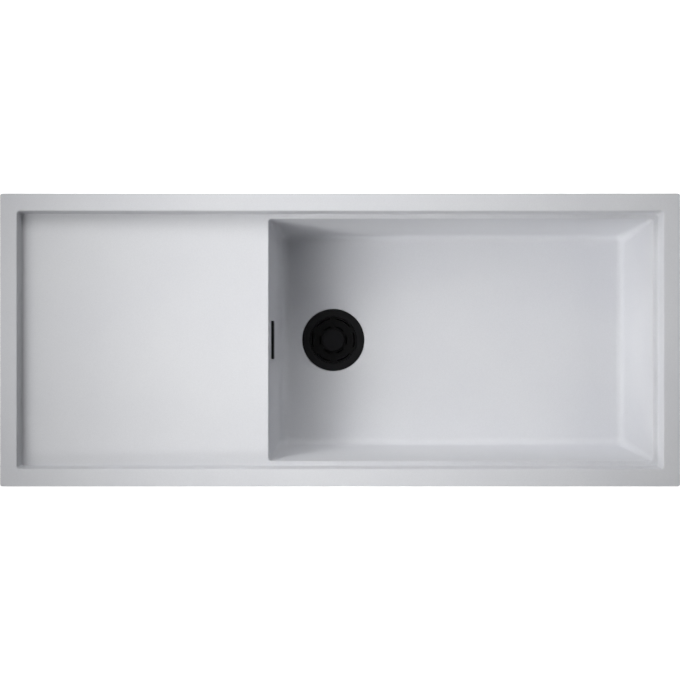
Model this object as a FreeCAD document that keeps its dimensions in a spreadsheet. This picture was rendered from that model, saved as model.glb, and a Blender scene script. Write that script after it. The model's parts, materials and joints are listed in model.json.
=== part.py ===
import FreeCAD, Part
import Sketcher
import math
import os
from types import SimpleNamespace
from FreeCAD import Placement, Rotation, Vector

# Kitchen sink with drainboard, moulded in one piece of quartz composite and let into a worktop
# from above. The drainboard lies at -X, the bowl at +X and the back at +Y. The origin is the
# centre of the sink at worktop level, the plane of the rim's underside. Millimetres throughout.

DRIVING_SIZES = {
    # Rim
    "overall_length": 1160,
    "overall_width": 500,
    "rim_thickness": 10,
    "rim_width": 28.7,
    "rim_side_width": 30.3,
    "rim_corner_radius": 4,
    "rim_edge_radius": 1.5,
    "rim_under_edge_radius": 1,
    # Recess: the drainboard and the ledge round the bowl
    "recess_depth": 25,
    "recess_draft": 3,
    "recess_end_draft": 5,
    "recess_corner_radius": 5,
    "recess_foot_radius": 2,
    "recess_edge_radius": 2.5,
    "drain_fall": 5,
    "fall_setback": 12,
    "fall_blend_radius": 900,
    "drainboard_length": 428.5,
    "ledge_width": 12.7,
    "ledge_side_width": 11.1,
    "tray_wall": 9,
    "tray_foot_radius": 8,
    "tray_end_foot_radius": 10,
    # Bowl, its depth counted from the top of the rim
    "bowl_depth": 200,
    "bowl_draft": 16.5,
    "bowl_wall": 9,
    "bowl_floor_thickness": 10,
    "bowl_top_corner_radius": 5,
    "bowl_floor_corner_radius": 16,
    "bowl_foot_radius": 14,
    "bowl_outer_foot_radius": 20,
    "bowl_edge_radius": 2,
    # Ribs under the drainboard
    "rib_width": 7,
    "rib_depth": 6,
    "rib_row_spacing": 220,
    "rib_cross_spacing": 160,
    # Waste hole in the bowl floor
    "drain_setback": 110.4,
    "drain_hole_radius": 45,
    "drain_seat_radius": 57.7,
    "drain_seat_depth": 2.6,
    "drain_seat_edge_radius": 0.8,
    "drain_pad_radius": 64,
    "drain_pad_height": 3,
    # Strainer flange with its well
    "flange_radius": 57,
    "flange_thickness": 1.4,
    "flange_edge_radius": 0.6,
    "flange_bevel": 1.2,
    "flange_seal_width": 9.5,
    "flange_seal_thickness": 1.5,
    "seat_radius": 42.8,
    "seat_width": 2.2,
    "seat_depth": 3,
    "well_depth": 36,
    "well_floor_radius": 35,
    "well_foot_radius": 5,
    "well_wall": 1.2,
    "well_hole_radius": 5,
    "well_hole_circle": 14.2,
    "well_hole_count": 6,
    # Basket
    "plate_thickness": 1.2,
    "slot_count": 6,
    "outer_slot_radius": 38.9,
    "outer_slot_width": 2.2,
    "outer_slot_angle": 41,
    "inner_slot_radius": 24.4,
    "inner_slot_width": 2.6,
    "inner_slot_angle": 40,
    "skirt_radius": 35.8,
    "skirt_wall": 1.2,
    "skirt_depth": 16,
    "window_count": 12,
    "window_width": 5,
    "window_height": 8,
    "window_corner_radius": 1,
    "hub_radius": 7,
    "hub_depth": 13,
    "ring_height": 2,
    "ring_thickness": 1.6,
    # Knob, stem and plug
    "knob_radius": 20,
    "knob_thickness": 3.2,
    "knob_foot_radius": 12,
    "knob_foot_height": 1.8,
    "knob_edge_radius": 1,
    "stem_radius": 3,
    "stem_collar_radius": 6,
    "stem_collar_height": 2,
    "stem_grip": 3.5,
    "plug_radius": 25,
    "plug_height": 7,
    "plug_hollow_radius": 20,
    "plug_hollow_depth": 4.5,
    "plug_edge_radius": 1.5,
    "plug_nut_radius": 7,
    "plug_nut_thickness": 1.8,
    # Waste body below the floor
    "waste_seal_width": 10,
    "waste_seal_thickness": 2.5,
    "waste_flange_radius": 57,
    "waste_flange_thickness": 4,
    "waste_cup_radius": 46.5,
    "waste_cup_height": 32,
    "waste_wall": 3,
    "waste_funnel_height": 12,
    "waste_funnel_root": 3,
    "outlet_thread_radius": 23.9,
    "outlet_bore_radius": 20.5,
    "outlet_length": 22,
    "boss_radius": 8,
    "boss_height": 20,
    "boss_rib_count": 3,
    "boss_rib_width": 3,
    "boss_rib_height": 7,
    "bolt_radius": 3,
    "bolt_head_radius": 6,
    "bolt_head_height": 2.5,
    "bolt_length": 18,
    "bolt_socket_flats": 5,
    "bolt_socket_depth": 1.8,
    "bolt_insert_radius": 5,
    "bolt_insert_length": 10,
    # Overflow
    "overflow_depth": 63,
    "overflow_slot_length": 61,
    "overflow_slot_height": 10,
    "overflow_slot_corner": 4.9,
    "cover_length": 67,
    "cover_height": 14,
    "cover_rise": 3.5,
    "cover_wall": 1.5,
    "cover_corner_radius": 1.2,
    "cover_edge_radius": 0.8,
    "overflow_gasket_thickness": 2,
    "box_flange_length": 70,
    "box_flange_height": 24,
    "box_flange_thickness": 3,
    "box_length": 42,
    "box_depth": 33,
    "box_wall": 2.5,
    "box_top": 9,
    "box_corner_radius": 3,
    "screw_spacing": 52,
    "screw_radius": 1.6,
    "screw_head_radius": 3.4,
    "screw_head_height": 2.4,
    "screw_length": 12,
    "screw_pillar_radius": 3.6,
    # Overflow hose and its two compression joints
    "spigot_radius": 12,
    "spigot_length": 18,
    "spigot_seat_depth": 14,
    "hose_cuff_radius": 9,
    "hose_bore_radius": 7.2,
    "hose_crest_radius": 10.5,
    "hose_valley_radius": 8.8,
    "hose_cuff_length": 27,
    "hose_bend_radius": 40,
    "hose_rib_pitch": 4.2,
    "nut_flats": 30,
    "nut_length": 18,
    "nut_grip": 12,
    "washer_thickness": 2.6,
    "inlet_drop": 20.5,
    # Clamps under the rim
    "clamp_inset": 22,
    "clamp_setback": 150,
    "clamp_boss_radius": 7.5,
    "clamp_boss_drop": 32,
    "clamp_insert_radius": 4.5,
    "clamp_insert_length": 12,
    "clamp_bore_roof": 2,
    "clamp_screw_radius": 3,
    "clamp_screw_length": 35,
    "clamp_screw_grip": 8.5,
    "clamp_head_radius": 5,
    "clamp_head_height": 4.2,
    "clamp_socket_flats": 4,
    "clamp_socket_depth": 2.5,
    "claw_width": 16,
    "claw_thickness": 2.5,
    "claw_heel": 8,
    "claw_reach": 27,
    "claw_toe_height": 16.5,
    "claw_bend_radius": 3,
    "claw_tooth_depth": 3,
    # Clearances
    "running_clearance": 0.08,
    "press_clearance": 0.05,
    "loose_clearance": 0.3,
    "cut_margin": 5,
}


class Size:
    """A length or a ratio: its value and the spreadsheet formula that gives it."""

    def __init__(self, formula, value):
        self.formula = formula
        self.value = value

    def __add__(self, other):
        other = as_size(other)
        return Size(f"({self.formula} + {other.formula})", self.value + other.value)

    def __sub__(self, other):
        other = as_size(other)
        return Size(f"({self.formula} - {other.formula})", self.value - other.value)

    def __mul__(self, other):
        other = as_size(other)
        return Size(f"({self.formula} * {other.formula})", self.value * other.value)

    def __truediv__(self, other):
        other = as_size(other)
        return Size(f"({self.formula} / {other.formula})", self.value / other.value)

    def __neg__(self):
        return Size(f"(-1 * {self.formula})", -self.value)

    def __radd__(self, other):
        return as_size(other) + self

    def __rsub__(self, other):
        return as_size(other) - self

    def __rmul__(self, other):
        return as_size(other) * self

    def __rtruediv__(self, other):
        return as_size(other) / self


def as_size(quantity):
    """A plain number as a size; a size stays as it is."""
    if isinstance(quantity, Size):
        return quantity
    return Size(f"({quantity!r})", quantity)


def root(size):
    """The square root of a size."""
    return Size(f"sqrt({size.formula})", math.sqrt(size.value))


def lean_angle(slope):
    """The angle whose tangent is the slope, in degrees."""
    return Size(f"atan({slope.formula})", math.degrees(math.atan(slope.value)))


doc = FreeCAD.newDocument("sink")
sheet = doc.addObject("Spreadsheet::Sheet", "sizes")
for row, (alias, number) in enumerate(DRIVING_SIZES.items(), 1):
    sheet.set(f"A{row}", alias)
    sheet.set(f"B{row}", str(number))
    sheet.setAlias(f"B{row}", alias)
doc.recompute()
s = SimpleNamespace(**{alias: Size(f"sizes.{alias}", sheet.get(alias)) for alias in DRIVING_SIZES})


# Levels and edges that several pieces share

rim_top = s.rim_thickness
ledge_level = rim_top - s.recess_depth
floor_level = rim_top - s.bowl_depth
floor_underside = floor_level - s.bowl_floor_thickness
half_length = s.overall_length / 2
half_width = s.overall_width / 2
recess_half_length = half_length - s.rim_width
recess_half_width = half_width - s.rim_side_width
tray_half_length = recess_half_length + s.tray_wall
tray_half_width = recess_half_width + s.tray_wall
bowl_left = s.drainboard_length - recess_half_length
bowl_right = recess_half_length - s.ledge_width
bowl_half_width = recess_half_width - s.ledge_side_width
bowl_slope = s.bowl_draft / (s.bowl_depth - s.recess_depth)
fall_start = bowl_left - s.fall_setback
drain_x = bowl_left + s.drain_setback

# Levels of the waste, counted from the bowl floor

flange_under = s.flange_seal_thickness - s.drain_seat_depth
flange_top = flange_under + s.flange_thickness
seat_level = flange_top - s.seat_depth
plate_top = seat_level + s.plate_thickness
well_floor = flange_top - s.well_depth
well_underside = well_floor - s.well_wall
seat_inner_radius = s.seat_radius - s.seat_width
pad_underside = -(s.bowl_floor_thickness + s.drain_pad_height)
waste_top = pad_underside - s.waste_seal_thickness
cup_outer_radius = s.waste_cup_radius + s.waste_wall
cup_foot = waste_top - s.waste_cup_height
outlet_top = cup_foot - s.waste_funnel_height
inlet_level = waste_top - s.inlet_drop
inlet_end = cup_outer_radius + s.spigot_length
plug_foot = well_floor + s.loose_clearance
plug_top = plug_foot + s.plug_height
knob_foot = plate_top + s.loose_clearance
knob_under = knob_foot + s.knob_foot_height
knob_top = knob_under + s.knob_thickness
hub_foot = seat_level - s.hub_depth

# The overflow's own frame stands on the bowl's left wall: X out into the bowl, Z up the wall

overflow_level = rim_top - s.overflow_depth
wall_cosine = 1 / root(1 + bowl_slope * bowl_slope)
wall_sine = bowl_slope * wall_cosine
overflow_x = bowl_left + bowl_slope * (ledge_level - overflow_level)
wall_back = -(s.bowl_wall * wall_cosine)
gasket_back = wall_back - s.overflow_gasket_thickness
box_flange_back = gasket_back - s.box_flange_thickness
box_back = box_flange_back - s.box_depth
spigot_axis = box_flange_back - s.box_depth / 2
box_foot = -(s.box_flange_height / 2)
spigot_end = box_foot - s.spigot_length


def overflow_point(out, up):
    """X and Z, in the sink's frame, of a point of the overflow's frame."""
    x = overflow_x + out * wall_cosine - up * wall_sine
    z = overflow_level + out * wall_sine + up * wall_cosine
    return x, z


# Clamp places: X, Y and the direction straight out from the rim, in degrees

clamp_row = half_width - s.clamp_inset
clamp_end = half_length - s.clamp_inset
clamp_spread = half_length - s.clamp_setback
CLAMP_PLACES = [
    (-clamp_spread, clamp_row, 90),
    (as_size(0), clamp_row, 90),
    (clamp_spread, clamp_row, 90),
    (clamp_end, as_size(0), 0),
    (clamp_spread, -clamp_row, -90),
    (as_size(0), -clamp_row, -90),
    (-clamp_spread, -clamp_row, -90),
    (-clamp_end, as_size(0), 180),
]
PARKED_TURN = -90
clamp_bearing = s.clamp_screw_grip - s.clamp_boss_drop - s.clamp_screw_length

# Where along an edge it is tested when edges are picked for rounding
EDGE_SHARES = (0.05, 0.3, 0.6, 0.95)

pieces = []


def add_body(label, at=(0, 0, 0), lean=None, turn=None):
    """A new sub-part, placed and, if asked, leant about Y or turned about Z."""
    body = doc.addObject("PartDesign::Body", label)
    body.Label = label
    body.AllowCompound = True
    at = [as_size(value) for value in at]
    rotation = Rotation()
    if lean is not None:
        rotation = Rotation(Vector(0, 1, 0), lean.value)
    if turn is not None:
        rotation = Rotation(Vector(0, 0, 1), turn)
    body.Placement = Placement(Vector(*[value.value for value in at]), rotation)
    for axis, value in zip("xyz", at):
        body.setExpression(f"Placement.Base.{axis}", value.formula)
    if lean is not None:
        body.setExpression("Placement.Rotation.Angle", lean.formula)
    pieces.append(body)
    return body


def origin_feature(body, role):
    """One of the body's own origin planes or axes."""
    return next(feature for feature in body.Origin.OriginFeatures if feature.Role == role)


def add_sketch(body, role, offset=0):
    """A sketch on an origin plane of the body, moved along the plane's normal."""
    offset = as_size(offset)
    sketch = body.newObject("Sketcher::SketchObject", f"{body.Name}_sketch")
    sketch.AttachmentSupport = [(origin_feature(body, role), "")]
    sketch.MapMode = "FlatFace"
    sketch.AttachmentOffset = Placement(Vector(0, 0, offset.value), Rotation())
    sketch.setExpression("AttachmentOffset.Base.z", offset.formula)
    return sketch


def pin_point(sketch, geometry, vertex, across, up):
    """Tie one point of the sketch to its place, counted from the sketch's origin."""
    for kind, distance, axis in (("DistanceX", across, -2), ("DistanceY", up, -1)):
        if distance.value == 0:
            sketch.addConstraint(Sketcher.Constraint("PointOnObject", geometry, vertex, axis))
            continue
        constraint = Sketcher.Constraint(kind, -1, 1, geometry, vertex, distance.value)
        number = sketch.addConstraint(constraint)
        sketch.setExpression(f"Constraints[{number}]", distance.formula)


def bind_radius(sketch, geometry, radius):
    """Tie the radius of a circle or an arc."""
    constraint = Sketcher.Constraint("Radius", geometry, radius.value)
    number = sketch.addConstraint(constraint)
    sketch.setExpression(f"Constraints[{number}]", radius.formula)


def draw_circle(sketch, across, up, radius):
    """A circle tied to its centre and radius."""
    across, up, radius = as_size(across), as_size(up), as_size(radius)
    centre = Vector(across.value, up.value, 0)
    circle = sketch.addGeometry(Part.Circle(centre, Vector(0, 0, 1), radius.value))
    pin_point(sketch, circle, 3, across, up)
    bind_radius(sketch, circle, radius)


def rounding_arc(corner, to_before, to_after, radius):
    """The arc that rounds a corner, and whether the outline turns left there."""
    half_angle = to_before.getAngle(to_after) / 2
    bisector = (to_before + to_after).normalize()
    centre = corner + bisector * (radius / math.sin(half_angle))
    cut_back = radius / math.tan(half_angle)
    first = corner + to_before * cut_back - centre
    last = corner + to_after * cut_back - centre
    turns_left = to_before.cross(to_after).z < 0
    if not turns_left:
        first, last = last, first
    start = math.atan2(first.y, first.x)
    sweep = (math.atan2(last.y, last.x) - start) % (2 * math.pi)
    circle = Part.Circle(centre, Vector(0, 0, 1), radius)
    return Part.ArcOfCircle(circle, start, start + sweep), turns_left


def draw_outline(sketch, corners):
    """Close a chain of lines through the corners; a corner's third value is its radius."""
    corners = [tuple(as_size(value) for value in corner) for corner in corners]
    places = [Vector(corner[0].value, corner[1].value, 0) for corner in corners]
    count = len(corners)
    to_before = [(places[i - 1] - places[i]).normalize() for i in range(count)]
    to_after = [(places[(i + 1) % count] - places[i]).normalize() for i in range(count)]
    cut_backs = []
    for i, corner in enumerate(corners):
        half_angle = to_before[i].getAngle(to_after[i]) / 2
        cut_backs.append(corner[2].value / math.tan(half_angle) if len(corner) == 3 else 0)
    lines = []
    for i in range(count):
        after = (i + 1) % count
        start = places[i] + to_after[i] * cut_backs[i]
        end = places[after] + to_before[after] * cut_backs[after]
        lines.append(sketch.addGeometry(Part.LineSegment(start, end)))
    for i, corner in enumerate(corners):
        line_in, line_out = lines[i - 1], lines[i]
        if len(corner) == 2:
            sketch.addConstraint(Sketcher.Constraint("Coincident", line_in, 2, line_out, 1))
            pin_point(sketch, line_out, 1, corner[0], corner[1])
            continue
        point = sketch.addGeometry(Part.Point(places[i]), True)
        pin_point(sketch, point, 1, corner[0], corner[1])
        curve, turns_left = rounding_arc(places[i], to_before[i], to_after[i], corner[2].value)
        arc = sketch.addGeometry(curve)
        arc_in, arc_out = (1, 2) if turns_left else (2, 1)
        sketch.addConstraint(Sketcher.Constraint("PointOnObject", point, 1, line_in))
        sketch.addConstraint(Sketcher.Constraint("PointOnObject", point, 1, line_out))
        sketch.addConstraint(Sketcher.Constraint("Tangent", line_in, 2, arc, arc_in))
        sketch.addConstraint(Sketcher.Constraint("Tangent", arc, arc_out, line_out, 1))
        bind_radius(sketch, arc, corner[2])


def draw_rectangle(sketch, low_across, high_across, low_up, high_up, radius=None):
    """An upright rectangle, with its corners rounded if a radius is given."""
    rounding = () if radius is None else (radius,)
    corners = [(low_across, low_up), (high_across, low_up)]
    corners += [(high_across, high_up), (low_across, high_up)]
    draw_outline(sketch, [corner + rounding for corner in corners])


def draw_hexagon(sketch, flats):
    """A regular hexagon about the sketch's origin, two of its flats square to the X axis."""
    half = flats / 2
    reach = flats / math.sqrt(3)
    half_side = reach / 2
    draw_outline(sketch, [
        (0, -reach),
        (half, -half_side),
        (half, half_side),
        (0, reach),
        (-half, half_side),
        (-half, -half_side),
    ])


def add_feature(body, kind, sketch, length=None, **settings):
    """A feature made from a sketch; its length, where it has one, is tied."""
    feature = body.newObject(f"PartDesign::{kind}", f"{body.Name}_{kind}")
    feature.Profile = sketch
    if length is not None:
        length = as_size(length)
        feature.Length = length.value
        feature.setExpression("Length", length.formula)
    for name, value in settings.items():
        setattr(feature, name, value)
    doc.recompute()
    return feature


def pad(body, sketch, length, **settings):
    """Add material from the sketch along its normal."""
    return add_feature(body, "Pad", sketch, length, **settings)


def pocket(body, sketch, length, **settings):
    """Cut from the sketch against its normal, and check that something was cut."""
    before = body.Shape.Volume
    feature = add_feature(body, "Pocket", sketch, length, **settings)
    if body.Shape.Volume >= before:
        raise ValueError(f"{feature.Name} cuts nothing")
    return feature


def loft(body, kind, first, second):
    """A straight-sided loft between two sketches."""
    feature = body.newObject(f"PartDesign::{kind}", f"{body.Name}_{kind}")
    feature.Profile = first
    feature.Sections = [second]
    feature.Ruled = True
    doc.recompute()
    return feature


def revolve(body, corners):
    """A ring or disc about the body's Z axis; the corners give radius and height."""
    sketch = add_sketch(body, "XZ_Plane")
    draw_outline(sketch, corners)
    return add_feature(body, "Revolution", sketch, ReferenceAxis=(sketch, ["V_Axis"]), Angle=360)


def cut_arc(body, angle, inner, outer, low, high):
    """Cut a ring's arc, centred on +X, out of the body."""
    sketch = add_sketch(body, "XZ_Plane")
    draw_rectangle(sketch, inner, outer, low, high)
    feature = add_feature(body, "Groove", sketch, ReferenceAxis=(sketch, ["V_Axis"]), Midplane=True)
    feature.setExpression("Angle", angle.formula)
    doc.recompute()
    return feature


def repeat_round(body, feature, count):
    """Repeat a feature evenly about the body's Z axis."""
    pattern = body.newObject("PartDesign::PolarPattern", f"{body.Name}_round")
    pattern.Originals = [feature]
    pattern.Axis = (origin_feature(body, "Z_Axis"), [""])
    pattern.Angle = 360
    pattern.setExpression("Occurrences", count.formula)
    body.Tip = pattern
    doc.recompute()


def fillet(body, radius, test):
    """Round the edges of the body that pass the test at four points along them."""
    names = []
    for number, edge in enumerate(body.Tip.Shape.Edges, 1):
        first, last = edge.ParameterRange
        points = [edge.valueAt(first + (last - first) * share) for share in EDGE_SHARES]
        if all(test(point) for point in points):
            names.append(f"Edge{number}")
    if not names:
        raise ValueError(f"{body.Name} has no edge to round there")
    feature = body.newObject("PartDesign::Fillet", f"{body.Name}_fillet")
    feature.Base = (feature.BaseFeature, names)
    feature.Radius = radius.value
    feature.setExpression("Radius", radius.formula)
    doc.recompute()


# How near a point counts as on a face, and how far round an outline its edges are looked for
TOUCHING = 0.001
SEARCH_MARGIN = 1


def near(number, size):
    """Whether a coordinate equals a size."""
    return abs(number - as_size(size).value) < TOUCHING


# The sink itself


def side_of_recess(z, half_at_top):
    """Half the recess's width at a height: its long walls lean in towards the foot."""
    return half_at_top - s.recess_draft * (rim_top - z) / s.recess_depth


def make_recess_former():
    """The shape of the space inside the rim, down to the drainboard and the ledge."""
    former = doc.addObject("PartDesign::Body", "recess_former")
    top = rim_top + s.cut_margin
    spread = s.recess_draft * s.cut_margin / s.recess_depth
    section = add_sketch(former, "XZ_Plane")
    far_end = s.recess_end_draft - recess_half_length
    near_end = recess_half_length - s.recess_draft
    draw_outline(section, [
        (recess_half_length + spread, top),
        (-(recess_half_length + spread), top),
        (far_end, ledge_level + s.drain_fall),
        (fall_start, ledge_level, s.fall_blend_radius),
        (near_end, ledge_level),
    ])
    pad(former, section, 2 * (recess_half_width + s.rim_side_width), Midplane=True)
    trim = add_sketch(former, "YZ_Plane")
    high = top + s.cut_margin
    low = ledge_level - s.cut_margin
    high_half = side_of_recess(high, recess_half_width)
    low_half = side_of_recess(low, recess_half_width)
    outside = half_width + s.cut_margin
    for sign in (1, -1):
        draw_outline(trim, [
            (sign * high_half, high),
            (sign * low_half, low),
            (sign * outside, low),
            (sign * outside, high),
        ])
    pocket(former, trim, s.overall_length, Midplane=True)

    def on_corner(point):
        at_side = near(abs(point.y), side_of_recess(point.z, recess_half_width))
        return at_side and not far_end.value < point.x < near_end.value

    fillet(former, s.recess_corner_radius, lambda point: on_corner(point) and not near(point.z, top))
    foot_top = ledge_level.value + s.drain_fall.value + TOUCHING
    reach = s.recess_corner_radius.value + TOUCHING
    side = side_of_recess(ledge_level, recess_half_width).value

    def round_the_foot(point):
        inside_x = far_end.value + reach < point.x < near_end.value - reach
        inside_y = abs(point.y) < side - reach
        return point.z < foot_top and not (inside_x and inside_y)

    fillet(former, s.recess_foot_radius, round_the_foot)
    return former


def bowl_outline(sketch, z, thickness, radius):
    """The bowl's outline at a height, with a wall outside it and rounded corners."""
    inset = bowl_slope * (ledge_level - z) - thickness
    draw_rectangle(
        sketch,
        bowl_left + inset,
        bowl_right - inset,
        -(bowl_half_width - inset),
        bowl_half_width - inset,
        radius,
    )


def make_sink_body():
    """Rim, recess, drainboard, ledge and bowl in one moulding."""
    body = add_body("sink_body")
    add_tray(body)
    rim = add_sketch(body, "XY_Plane")
    draw_rectangle(rim, -half_length, half_length, -half_width, half_width, s.rim_corner_radius)
    pad(body, rim, s.rim_thickness)
    add_clamp_bosses(body)
    add_drainboard_ribs(body)
    add_bowl_shell(body)
    former = make_recess_former()
    cut = body.newObject("PartDesign::Boolean", "recess")
    cut.Type = "Cut"
    cut.setObjects([former])
    body.Tip = cut
    doc.recompute()
    cut_bowl(body)
    cut_drain(body)
    cut_overflow(body)
    cut_clamp_bores(body)
    round_edges(body)


def add_tray(body):
    """The outside of the recess and drainboard, one wall outside the recess."""
    section = add_sketch(body, "XZ_Plane")
    top = s.rim_thickness / 2
    underside = ledge_level - s.tray_wall
    draw_outline(section, [
        (tray_half_length, top),
        (-tray_half_length, top),
        (-tray_half_length, underside + s.drain_fall, s.tray_end_foot_radius),
        (fall_start, underside, s.fall_blend_radius),
        (tray_half_length, underside, s.tray_end_foot_radius),
    ])
    pad(body, section, 2 * tray_half_width, Midplane=True)

    def on_long_side(point):
        return near(abs(point.y), tray_half_width) and not near(point.z, top)

    fillet(body, s.tray_foot_radius, on_long_side)


def add_bowl_shell(body):
    """The outside of the bowl, with the thicker pad round the waste hole."""
    upper = add_sketch(body, "XY_Plane", ledge_level)
    bowl_outline(upper, ledge_level, s.bowl_wall, s.bowl_top_corner_radius + s.bowl_wall)
    lower = add_sketch(body, "XY_Plane", floor_underside)
    bowl_outline(lower, floor_underside, s.bowl_wall, s.bowl_floor_corner_radius + s.bowl_wall)
    loft(body, "AdditiveLoft", upper, lower)
    fillet(body, s.bowl_outer_foot_radius, lambda point: near(point.z, floor_underside))
    waste_pad = add_sketch(body, "XY_Plane", floor_underside - s.drain_pad_height)
    draw_circle(waste_pad, drain_x, 0, s.drain_pad_radius)
    pad(body, waste_pad, s.drain_pad_height + s.bowl_floor_thickness / 2)


def add_drainboard_ribs(body):
    """Two long ribs and two cross ribs that stiffen the drainboard from below."""
    foot = ledge_level - s.tray_wall - s.rib_depth
    height = s.rib_depth + s.tray_wall / 2 + s.drain_fall / 4
    half_rib = s.rib_width / 2
    left = s.tray_wall - tray_half_length
    right = bowl_left - s.bowl_wall / 2
    middle = (left + right) / 2
    for sign in (1, -1):
        row = sign * s.rib_row_spacing / 2
        long_rib = add_sketch(body, "XY_Plane", foot)
        draw_rectangle(long_rib, left, right, row - half_rib, row + half_rib)
        pad(body, long_rib, height)
    reach = tray_half_width - s.tray_foot_radius
    for sign in (1, -1):
        place = middle + sign * s.rib_cross_spacing / 2
        cross_rib = add_sketch(body, "XY_Plane", foot)
        draw_rectangle(cross_rib, place - half_rib, place + half_rib, -reach, reach)
        pad(body, cross_rib, height)


def add_clamp_bosses(body):
    """Eight round bosses down from the rim, one for each clamp."""
    bosses = add_sketch(body, "XY_Plane", -s.clamp_boss_drop)
    for x, y, _ in CLAMP_PLACES:
        draw_circle(bosses, x, y, s.clamp_boss_radius)
    pad(body, bosses, s.clamp_boss_drop + s.rim_thickness / 2)


def cut_bowl(body):
    """The inside of the bowl and its rounded foot."""
    above = ledge_level + s.cut_margin
    upper = add_sketch(body, "XY_Plane", above)
    bowl_outline(upper, above, as_size(0), s.bowl_top_corner_radius)
    lower = add_sketch(body, "XY_Plane", floor_level)
    bowl_outline(lower, floor_level, as_size(0), s.bowl_floor_corner_radius)
    loft(body, "SubtractiveLoft", upper, lower)
    fillet(body, s.bowl_foot_radius, lambda point: near(point.z, floor_level))


def cut_drain(body):
    """The seat of the strainer flange and the hole through the floor."""
    seat = add_sketch(body, "XY_Plane", floor_level)
    draw_circle(seat, drain_x, 0, s.drain_seat_radius)
    pocket(body, seat, s.drain_seat_depth)
    hole = add_sketch(body, "XY_Plane", floor_level)
    draw_circle(hole, drain_x, 0, s.drain_hole_radius)
    pocket(body, hole, s.bowl_floor_thickness + s.drain_pad_height + s.cut_margin)


def cut_overflow(body):
    """The slot through the bowl's left wall."""
    slot = add_sketch(body, "YZ_Plane", overflow_x + s.cut_margin)
    half_slot = s.overflow_slot_length / 2
    low = overflow_level - s.overflow_slot_height / 2
    high = overflow_level + s.overflow_slot_height / 2
    draw_rectangle(slot, -half_slot, half_slot, low, high, s.overflow_slot_corner)
    pocket(body, slot, s.bowl_wall + 2 * s.cut_margin)


def cut_clamp_bores(body):
    """Seats for the brass inserts and the bores above them for the screws."""
    insert_top = s.clamp_insert_length - s.clamp_boss_drop
    seats = add_sketch(body, "XY_Plane", insert_top)
    bores = add_sketch(body, "XY_Plane", -s.clamp_bore_roof)
    for x, y, _ in CLAMP_PLACES:
        draw_circle(seats, x, y, s.clamp_insert_radius + s.press_clearance)
        draw_circle(bores, x, y, s.clamp_screw_radius + s.loose_clearance)
    pocket(body, seats, s.clamp_insert_length + s.cut_margin)
    pocket(body, bores, s.clamp_boss_drop)


def round_edges(body):
    """The roundings that show from above, and those under the rim."""
    def on_rim(point):
        beside_x = abs(point.x) > recess_half_length.value + SEARCH_MARGIN
        beside_y = abs(point.y) > recess_half_width.value + SEARCH_MARGIN
        return beside_x or beside_y

    def inside_rim(point):
        return not on_rim(point)

    def outermost(point):
        reach_x = half_length.value - s.rim_corner_radius.value - TOUCHING
        reach_y = half_width.value - s.rim_corner_radius.value - TOUCHING
        return abs(point.x) > reach_x or abs(point.y) > reach_y

    def in_bowl_mouth(point):
        return (
            bowl_left.value - SEARCH_MARGIN < point.x < bowl_right.value + SEARCH_MARGIN
            and abs(point.y) < bowl_half_width.value + SEARCH_MARGIN
        )

    fillet(body, s.bowl_edge_radius, lambda point: near(point.z, ledge_level) and in_bowl_mouth(point))
    fillet(body, s.recess_edge_radius, lambda point: near(point.z, rim_top) and inside_rim(point))
    fillet(body, s.rim_edge_radius, lambda point: near(point.z, rim_top) and on_rim(point))
    fillet(body, s.rim_under_edge_radius, lambda point: near(point.z, 0) and outermost(point))

    def on_seat_edge(point):
        reach = math.hypot(point.x - drain_x.value, point.y)
        return near(point.z, floor_level) and near(reach, s.drain_seat_radius)

    fillet(body, s.drain_seat_edge_radius, on_seat_edge)


# The waste


def drain_body(label):
    """A sub-part whose frame stands on the waste's axis at the level of the bowl floor."""
    return add_body(label, at=(drain_x, 0, floor_level))


def make_strainer_flange():
    """The pressed flange and the well that the basket stands in."""
    body = drain_body("strainer_flange")
    shoulder = s.seat_radius + s.well_wall
    neck = seat_inner_radius + s.well_wall
    revolve(body, [
        (s.flange_radius, flange_under),
        (s.flange_radius, flange_top, s.flange_edge_radius),
        (s.seat_radius + s.flange_bevel, flange_top),
        (s.seat_radius, flange_top - s.flange_bevel),
        (s.seat_radius, seat_level),
        (seat_inner_radius, seat_level),
        (s.well_floor_radius, well_floor, s.well_foot_radius),
        (0, well_floor),
        (0, well_underside),
        (s.well_floor_radius + s.well_wall, well_underside, s.well_foot_radius + s.well_wall),
        (neck, seat_level - s.well_wall),
        (shoulder, seat_level - s.well_wall),
        (shoulder, flange_under),
    ])
    bolt_hole = add_sketch(body, "XY_Plane", well_floor + s.well_wall)
    draw_circle(bolt_hole, 0, 0, s.bolt_radius + s.loose_clearance)
    pocket(body, bolt_hole, 3 * s.well_wall)
    hole = add_sketch(body, "XY_Plane", well_floor + s.well_wall)
    draw_circle(hole, s.well_hole_circle, 0, s.well_hole_radius)
    repeat_round(body, pocket(body, hole, 3 * s.well_wall), s.well_hole_count)


def make_ring(label, inner, outer, low, high):
    """A flat ring on the waste's axis."""
    revolve(drain_body(label), [(inner, low), (outer, low), (outer, high), (inner, high)])


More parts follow.
